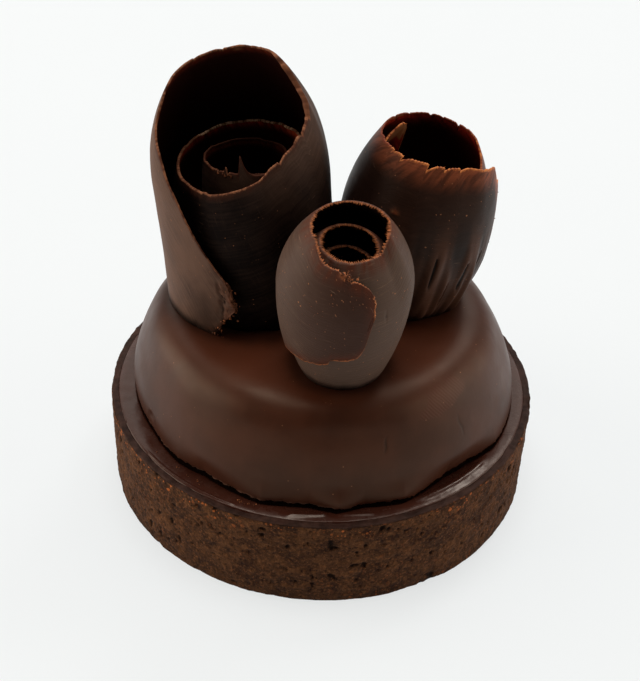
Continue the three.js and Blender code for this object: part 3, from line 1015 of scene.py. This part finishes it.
def make_curl(name, material, seed, notches, scars, shape):
    """One rolled sheet with a torn edge, closed all round.

    `shape(angle, height, arc)` gives how far the face stands out at each point, how much
    thicker the sheet is there, the slits that the material paints dark as painted shade, the chips,
    and the dust, with painted shade where it is taken away, that the material paints.
    """
    curl = CURLS[name]
    roll = Roll(curl)
    columns = int(curl["turn"] / curl["step"]) + 1
    angle = np.linspace(0, curl["turn"], columns)
    rim = roll.value("top", angle)
    mid = roll.radius(angle, rim - 2)
    arc = np.concatenate([[0], np.cumsum(np.radians(np.diff(angle)) * (mid[1:] + mid[:-1]) / 2)])

    # Where the sheet starts and stops in each column, and how its points are spread between.
    spacing, tall, bend = curl["teeth"]
    tooth = serrated(arc, spacing, 1.0, seed)
    bites = ragged(arc, spacing * 6, curl["rough"], seed + 1)
    top = rim + tall * tooth + bites - cut_notches(angle, notches)
    uneven_foot = np.clip(ragged(arc, 3.0, 1.0, seed + 5) + 1, 0, 1) ** 2
    stand = roll.standing(angle, DOME_TOP - FOOT_DEPTH) + FOOT_RISE * uneven_foot
    free = roll.value("bottom", angle) + ragged(arc, 0.8, 0.3, seed + 2)
    bottom = np.minimum(np.maximum(free, stand), top - LEAST_SHEET)
    share = 1 - (1 - np.linspace(0, 1, curl["rows"])) ** 1.5
    height = bottom[:, None] + (top - bottom)[:, None] * share

    # The free outer edge is torn too: its columns shift along the roll, less and less inwards.
    torn_side = serrated(height[0], 0.55, 0.46, seed + 3) + ragged(height[0], 1.8, 0.75, seed + 4)
    slide = -torn_side[None] / mid[0] * (180 / math.pi) * np.clip(1 - angle / SIDE_TEAR, 0, 1)[:, None]
    from_line = np.maximum(rim[:, None] - height, 0)
    lean = curl["shear"] * np.exp(-from_line / 0.7) * blend(angle, 0, 12)[:, None]
    turn = angle[:, None] + slide - lean
    out, thicker, slit_and_shade, chip, dust_and_shade = shape(turn, height, arc[:, None])
    spot = sheet_spot(arc[:, None], height)
    radius = roll.radius(turn, height) + out
    radius += 0.07 * smooth_noise(spot, 5.0, seed + 6) + 0.02 * smooth_noise(spot, 1.2, seed + 7)

    # How far each point is from the torn edges, and how thick the sheet is there.
    sheet_arc = spot[..., 0]
    from_bottom = np.where((free > stand + 0.2)[:, None], height - bottom[:, None], 99.0)
    from_side = np.minimum(np.minimum(from_bottom, sheet_arc), arc[-1] - sheet_arc)
    from_top = top[:, None] - height
    torn = np.minimum(from_top, from_side)
    outer_torn = np.minimum(from_top + curl["smooth"], from_side)
    from_rim = np.minimum(rim[:, None] - height, from_side)
    edge = roll.value("edge", angle)
    broad = blend(edge, 0.45, 0.8)
    edge = edge + 0.9 * np.maximum(edge - 0.5, 0) * ragged(arc, 2.2, 1.0, seed + 9)
    thick = edge[:, None] + (SHEET - edge[:, None]) * blend(torn, 0.0, 1.2) + thicker

    # A column's ring of points: up the outer face, over the edge's crest and tip, down inside.
    outer = roll.place(turn, height, radius)
    inner = roll.place(turn, height - INNER_DROP * np.exp(-from_top / 0.5), radius - thick)
    tooth_size = 1.2 + 0.8 * ragged(arc, spacing * 5, 1.0, seed + 8)
    inwards = bend * (1 + tooth) ** 1.3 * tooth_size * blend(angle, 0, 8)
    drop = curl["hang"] * (1 + tooth)
    edge_turn, edge_level, face, depth = (grid[:, -1] for grid in (turn, height + EDGE_RISE, radius, thick))
    crest = roll.place(edge_turn, edge_level, face - 0.4 * depth - 0.15 * inwards)
    tip = roll.place(edge_turn, edge_level - drop, face - depth - inwards)
    points = np.concatenate([outer, crest[:, None], tip[:, None], inner[:, ::-1]], 1).reshape(-1, 3)

    def around(outside, crest_value, inside, tip_value=None):
        """Values in the order of the ring's points: outside, crest, tip, then inside."""
        tip_value = crest_value if tip_value is None else tip_value
        middle = [np.broadcast_to(value, columns)[:, None] for value in (crest_value, tip_value)]
        return np.concatenate([outside, *middle, inside[:, ::-1]], 1).ravel()

    # Each tooth's tone, plus the edge's painted light and shade: lighter where a glint is painted, darker
    # where painted shade is.
    teeth_light_and_shade = (1 + tooth) * (1 - broad) + 0.5 * broad + roll.value("edge_light_and_shade", angle)
    teeth_light_and_shade, glow = (np.broadcast_to(row[:, None], torn.shape) for row in (teeth_light_and_shade, roll.value("glow", angle)))
    # Towards the foot the dust fades and the face is painted darker: painted shade.
    dust_and_shade = dust_and_shade * blend(height, -1.0, 5.0)
    # The lowest few millimetres above the foot are painted dark too: a painted shadow.
    slit_and_shade = np.maximum(slit_and_shade, 0.62 * blend(height - stand[:, None], 3.6, 0.2))
    scar = scar_bands(scars, angle, arc, from_top, seed + 12)
    attributes = {
        "torn": around(outer_torn, np.minimum(curl["smooth"] * 0.6, from_side[:, -1]), torn, 0),
        "from_rim": around(from_rim, 0, from_rim),
        "tooth": around(teeth_light_and_shade, teeth_light_and_shade[:, -1], teeth_light_and_shade),
        "inner": around(0 * torn, 0, 0 * torn + 1),
        "glow": around(glow, glow[:, -1], glow),
        "scar": around(0 * torn, 0, scar),
        "slit_and_shade": around(slit_and_shade, 0, 0 * torn),
        "chip": around(chip, 0, 0 * torn),
        "dust_and_shade": around(dust_and_shade, dust_and_shade[:, -1], dust_and_shade),
    }
    uv = np.stack([around(sheet_arc, sheet_arc[:, -1], sheet_arc), around(-from_top, 0.0, -from_top)], -1)
    faces = sheet_faces(columns, curl["rows"])
    return add_piece(name + "_sheet", points, faces, material, name, attributes, uv)


def large_shape(angle, height, arc):
    """The tall curl: a dusty flap, painted darker low down near its free edge as painted shade, that ends
    in a thick crumbly tip.
    """
    spot = sheet_spot(arc, height)
    lumps = smooth_noise(spot, 1.1, 301) + 0.6 * smooth_noise(spot, 0.5, 302)
    level = blend(height, 14.8, 13.2)
    tip = np.exp(-((arc / 1.7) ** 2)) * level
    rough = np.exp(-((arc / 3.0) ** 2)) * level
    crumbly_foot = 0.7 * np.exp(-((height - 2.5) / 1.7) ** 2) * blend(angle, 32, 12)
    rough = np.clip(rough + crumbly_foot, 0, 1)
    groove = np.exp(-(((arc - 2.6 - 0.5 * lumps) / 0.3) ** 2)) * level
    out = 0.85 * tip + 0.36 * lumps * rough - 0.35 * groove
    thicker = 1.0 * np.exp(-(((arc - 0.7) / 0.9) ** 2)) * level
    crack = blend(smooth_noise(spot * np.array([1.0, 0.45, 1.0]), 0.55, 303), -0.42, -0.62)
    # The cracks and the groove are painted dark: painted shade.
    slit_and_shade = np.clip(crack * rough + 0.8 * groove * blend(lumps, 0.1, -0.3), 0, 1)
    chip = np.clip(0.5 * tip + rough * blend(lumps, -0.3, 0.7), 0, 1)
    # The flap is dusty; near its free edge and low down it is painted darker: painted shade.
    dust_and_shade = blend(angle, 215, 120) - 0.5 * blend(height, 20, 7) * blend(angle, 75, 15)
    right_side = blend(angle, 222, 262) * blend(angle, 385, 325)
    dust_and_shade = dust_and_shade + right_side * (0.06 + 0.5 * blend(height, 24, 38)) + 0.45 * blend(angle, 600, 660)
    return out, thicker, slit_and_shade, chip, dust_and_shade


def rear_shape(angle, height, arc):
    """The rear curl: upright pleats in its lower half, four slits and a flake stuck on it."""
    facing = dent(angle - 66, 92) * (angle < 160)
    low = blend(height, 21.0, 11.0) * blend(height, 0.0, 4.0)
    leaning = sheet_spot(arc + (height - 12) * 0.03, height, 0.09)
    pleat = 1.2 * smooth_noise(leaning, 1.7, 403) + 0.7 * smooth_noise(leaning, 0.85, 402)
    out = 0.66 * pleat * facing * low
    slit_and_shade = np.zeros_like(out)
    # Each slit is (roll angle at its low end, and at its high end, the two heights, width). Each is cut in
    # and painted dark: painted shade.
    for at_low, at_high, low_end, high_end, wide in (
        (77.0, 75.0, 10.2, 17.2, 0.24), (50.5, 46.5, 8.8, 14.8, 0.42), (63.0, 60.5, 5.5, 11.0, 0.16),
        (36.0, 31.5, 7.5, 15.5, 0.2),
    ):
        way = (height - low_end) / (high_end - low_end)
        centre = at_low + (at_high - at_low) * way
        across = np.radians(angle - centre) * 12.5
        tapered = wide * np.sqrt(np.clip(way * (1 - way) * 4, 1e-6, 1))
        slit_and_shade = np.maximum(slit_and_shade, np.where((way > 0) & (way < 1), np.exp(-((across / tapered) ** 2)), 0))
    out = out - 0.55 * slit_and_shade
    flake = dent(np.hypot(np.radians(angle - 115) * 12.0 * 0.8, (height - 23.6) * 2.2), 1.0) * (angle < 180)
    out = out + 0.28 * flake
    crest = np.clip(0.35 + 0.8 * pleat, -0.3, 1)
    dust_and_shade = 0.22 + facing * blend(height, 26, 14) * crest
    return out, 0 * out, slit_and_shade, np.clip(flake * 1.2, 0, 1), dust_and_shade


def front_shape(angle, height, arc):
    """The front curl: a pit, a short crack and a lip of crumbs on the tongue's upper edge."""
    pit = dent(np.hypot(np.radians(angle - 349) * 10, height - 19.3), 0.45)
    crack_way = (height - 27.6) + np.radians(angle - 316) * 8 * 0.9
    crack = np.exp(-((crack_way / 0.12) ** 2)) * dent(np.radians(angle - 316) * 8, 1.3)
    out = -0.35 * pit - 0.15 * crack
    # The pit and the crack are painted dark: painted shade.
    slit_and_shade = np.clip(pit + crack * 0.8, 0, 1)
    near_lip = dent(np.hypot(np.radians(angle - 27) * 8.5 * 0.5, (height - 27.3) * 1.1), 0.9)
    lumps = smooth_noise(sheet_spot(arc, height), 0.45, 451)
    out = out + near_lip * (0.30 + 0.3 * lumps)
    dust_and_shade = blend(angle, 15, 100) * 0.8 + 0.6 * blend(angle, 300, 330)
    return out, 0 * out, slit_and_shade, near_lip * blend(lumps, -0.6, 0.4), dust_and_shade


def make_curls():
    """The three curls, each with its notches, scars and marks."""
    make_curl(
        "curl_large", curl_material("large_curl_chocolate", 0), 500,
        [(258, -9, 0.8), (276, 8, 0.9), (291, -7, 0.6), (318, 8, 0.5), (134, -12, 0.5), (165, 10, 0.4),
         (92, 8, 0.7), (205, 10, 0.3), (732, 6, 0.5), (748, -7, 0.6)],
        [(236, 276, 1.5), (172, 188, 1.3)], large_shape,
    )
    make_curl(
        "curl_rear", curl_material("rear_curl_chocolate", 1), 520,
        [(131, 12, 0.9), (100, 13, 1.0), (81, 8, 0.6), (65, 9, 0.6), (146, 8, 0.5), (304, -8, 1.0),
         (270, -7, 0.6), (246, 6, 0.5), (226, 8, 0.6), (205, -7, 0.5), (286, 5, 0.4), (322, 6, 0.5)],
        [(562, 620, 5.0), (205, 240, 0.5)], rear_shape,
    )
    front = curl_material("front_curl_chocolate", 2)
    make_curl("curl_front", front, 540, [(24, 9, 0.8), (33, -5, 0.35)], [], front_shape)


# ---------- loose crumbs ----------

CRUMB_SIDES = 7


def crumb_points(centre, size, dice):
    """One uneven crumb: rings of points from its lowest to its highest, flattened and turned."""
    squash = dice.uniform(0.45, 1.0, 3) * size
    turn = dice.uniform(0, 2 * math.pi)
    points = [(0, 0, -1)]
    for level in (-0.5, 0.1, 0.6):
        for side in range(CRUMB_SIDES):
            angle = 2 * math.pi * side / CRUMB_SIDES + turn
            reach = math.sqrt(1 - level**2) * dice.uniform(0.65, 1.1)
            up = level + dice.uniform(-0.15, 0.15)
            points.append((reach * math.cos(angle), reach * math.sin(angle), up))
    points.append((0, 0, 1))
    return np.array(points) * squash + centre


def crumb_faces(first):
    """The faces of a crumb whose points start at number `first`."""
    def at(ring, side):
        return first + 1 + ring * CRUMB_SIDES + side % CRUMB_SIDES

    faces = []
    for side in range(CRUMB_SIDES):
        faces.append([first, at(0, side + 1), at(0, side)])
        faces.append([first + 1 + 3 * CRUMB_SIDES, at(2, side), at(2, side + 1)])
        for ring in (0, 1):
            faces.append([at(ring, side), at(ring, side + 1), at(ring + 1, side + 1), at(ring + 1, side)])
    return faces


def spots_on_curl(name, spot, spread, count, dice):
    """Places on a curl's outer face around a (roll angle, height), half sunk in it."""
    roll = Roll(CURLS[name])
    angle = spot[0] + dice.normal(0, 1, count) * spread[0]
    height = spot[1] + dice.normal(0, 1, count) * spread[1]
    return roll.place(angle, height, roll.radius(angle, height) + 0.05)


def spots_on_dome(place, spread, count, dice):
    """Places on the dome's flat top."""
    return np.array([*place, DOME_TOP]) + dice.normal(0, 1, (count, 3)) * np.array([spread, spread, 0])


def spots_on_ganache(spot, spread, count, dice):
    """Places on the ganache around a (direction, distance from the tart's centre)."""
    way = np.radians(spot[0] + dice.normal(0, 1, count) * spread)
    reach = spot[1] + dice.normal(0, 0.2, count)
    return np.stack([reach * np.cos(way), reach * np.sin(way), np.full(count, GANACHE_LEVEL + 0.1)], -1)


# The (roll angle, height) of six places down the crumbly edge of the tall curl's flap.
FLAP_EDGE = [(2, 8.2), (6, 7.0), (10, 5.4), (14, 3.8), (18, 2.2), (22, 1.0)]

# Where crumbs lie: (on what, around which spot, how far they spread, their size, how many).
CRUMBS = [
    ("curl_front", (27, 27.2), (3.5, 0.3), 0.27, 20),
    ("curl_front", (40, 24.4), (0.5, 0.1), 0.17, 1),
    ("curl_front", (60, 22.0), (22, 4.5), 0.07, 60),
    ("curl_front", (330, 22.0), (14, 4.0), 0.06, 24),
    ("curl_large", (3, 10.4), (1.5, 1.6), 0.28, 16),
    *[("curl_large", spot, (1.2, 0.35), 0.34, 5) for spot in FLAP_EDGE],
    ("curl_large", (735, 29.2), (10, 0.15), 0.24, 9),
    ("curl_rear", (443, 30.4), (2, 0.3), 0.4, 4),
    ("curl_rear", (90, 14), (30, 5.0), 0.07, 30),
    ("curl_rear", (14, 16), (6, 5.0), 0.14, 12),
    ("dome", (-17.2, -12.8), 0.5, 0.18, 5),
    ("dome", (3.0, -27.5), 2.2, 0.10, 8),
    ("ganache", (-108, 36.9), 2.0, 0.2, 12),
    ("ganache", (-128, 36.6), 7.0, 0.16, 16),
]


def make_flakes():
    """All the loose crumbs as one piece."""
    dice = np.random.default_rng(600)
    places = {"dome": spots_on_dome, "ganache": spots_on_ganache}
    crumbs = []
    for base, spot, spread, size, count in CRUMBS:
        if base in CURLS:
            centres = spots_on_curl(base, spot, spread, count, dice)
        else:
            centres = places[base](spot, spread, count, dice)
        crumbs += zip(centres, size * dice.uniform(0.5, 1.2, count))
    faces, clouds, first = [], [], 0
    for centre, size in crumbs:
        cloud = crumb_points(centre, size, dice)
        faces += crumb_faces(first)
        clouds.append(cloud)
        first += len(cloud)
    return add_piece("loose_flakes", np.concatenate(clouds), faces, crumb_material())


# ---------- the studio ----------

CAMERA_PLACE = (0.741, -191.342, 174.449)  # in millimetres
CAMERA_LENS = 68.1
CAMERA_DOWN = 37.554             # degrees below level
CAMERA_PAN = -0.403              # degrees to the right of straight ahead
CAMERA_ROLL = 2.33


def make_floor():
    """A wide, plain, pale floor."""
    look = Surface("pale_floor")
    tone = look.mix(look.noise(60), shade(113, 115, 115), shade(117, 119, 119))
    look.set(Base_Color=tone, Roughness=0.9)
    look.set(Emission_Color=shade(244, 246, 246), Emission_Strength=0.745)
    mesh = bpy.data.meshes.new("floor")
    reach = 3.0
    corners = [(-reach, -reach, 0), (reach, -reach, 0), (reach, reach, 0), (-reach, reach, 0)]
    mesh.from_pydata(corners, [], [(0, 1, 2, 3)])
    mesh.materials.append(look.material)
    floor = bpy.data.objects.new("floor", mesh)
    bpy.context.scene.collection.objects.link(floor)


def add_panel(name, place, size, power, colour=(1, 1, 1)):
    """A soft square lamp that looks at the tart."""
    data = bpy.data.lights.new(name, "AREA")
    data.shape = "RECTANGLE"
    data.size, data.size_y = size
    data.energy = power
    data.color = colour
    lamp = bpy.data.objects.new(name, data)
    lamp.location = place
    aim = Vector((0, 0, 0.03)) - Vector(place)
    lamp.rotation_euler = aim.to_track_quat("-Z", "Y").to_euler()
    lamp.visible_camera = False
    bpy.context.scene.collection.objects.link(lamp)


def make_world():
    """White behind the tart for the camera, and a dim room that is brighter towards the back."""
    world = bpy.data.worlds.new("studio")
    world.use_nodes = True
    tree = world.node_tree
    direction = add_node(tree, "ShaderNodeTexCoord").outputs["Generated"]
    depth = add_node(tree, "ShaderNodeSeparateXYZ", {0: direction}).outputs["Y"]
    ends = {"Value": depth, "From Min": -0.7, "From Max": 0.6, "To Min": 0.03, "To Max": 0.26}
    room = add_node(tree, "ShaderNodeMapRange", ends, interpolation_type="SMOOTHSTEP").outputs["Result"]
    by_camera = add_node(tree, "ShaderNodeLightPath").outputs["Is Camera Ray"]
    seen = add_node(tree, "ShaderNodeMix", {0: by_camera, 2: room, 3: 0.92})
    background = tree.nodes["Background"]
    feed(tree, background.inputs["Color"], (1.0, 1.0, 1.0, 1.0))
    feed(tree, background.inputs["Strength"], seen.outputs[0])
    bpy.context.scene.world = world


WARM_LIGHT = (1.0, 0.93, 0.84)


def make_light():
    """Soft studio lamps: strong ones at the back and the sides, weak ones above."""
    make_world()
    add_panel("back_panel", (0.0, 1.15, 1.05), (1.9, 1.1), 9.0)
    add_panel("top_panel", (-0.04, 0.1, 1.0), (0.5, 0.5), 5.0)
    add_panel("left_panel", (-1.05, 0.0, 0.36), (1.1, 0.9), 12.4, WARM_LIGHT)
    add_panel("right_panel", (1.05, 0.0, 0.36), (1.1, 0.9), 7.4, WARM_LIGHT)
    add_panel("small_panel", (0.4, 0.55, 0.95), (0.25, 0.25), 1.8)
    bpy.context.scene.view_settings.view_transform = "Standard"


def make_camera():
    """A camera above and in front of the tart, looking down at it."""
    data = bpy.data.cameras.new("camera")
    data.sensor_width = 36.0
    data.lens = CAMERA_LENS
    camera = bpy.data.objects.new("camera", data)
    down, pan, roll = (math.radians(turn) for turn in (CAMERA_DOWN, CAMERA_PAN, CAMERA_ROLL))
    turn = Matrix.Rotation(-pan, 4, "Z") @ Matrix.Rotation(math.pi / 2 - down, 4, "X")
    place = Matrix.Translation(Vector(CAMERA_PLACE) * MM)
    camera.matrix_world = place @ turn @ Matrix.Rotation(roll, 4, "Z")
    bpy.context.scene.collection.objects.link(camera)
    bpy.context.scene.camera = camera


# ---------- the scene ----------

make_crust()
make_ganache()
make_dome()
make_curls()
make_flakes()
make_floor()
make_light()
make_camera()
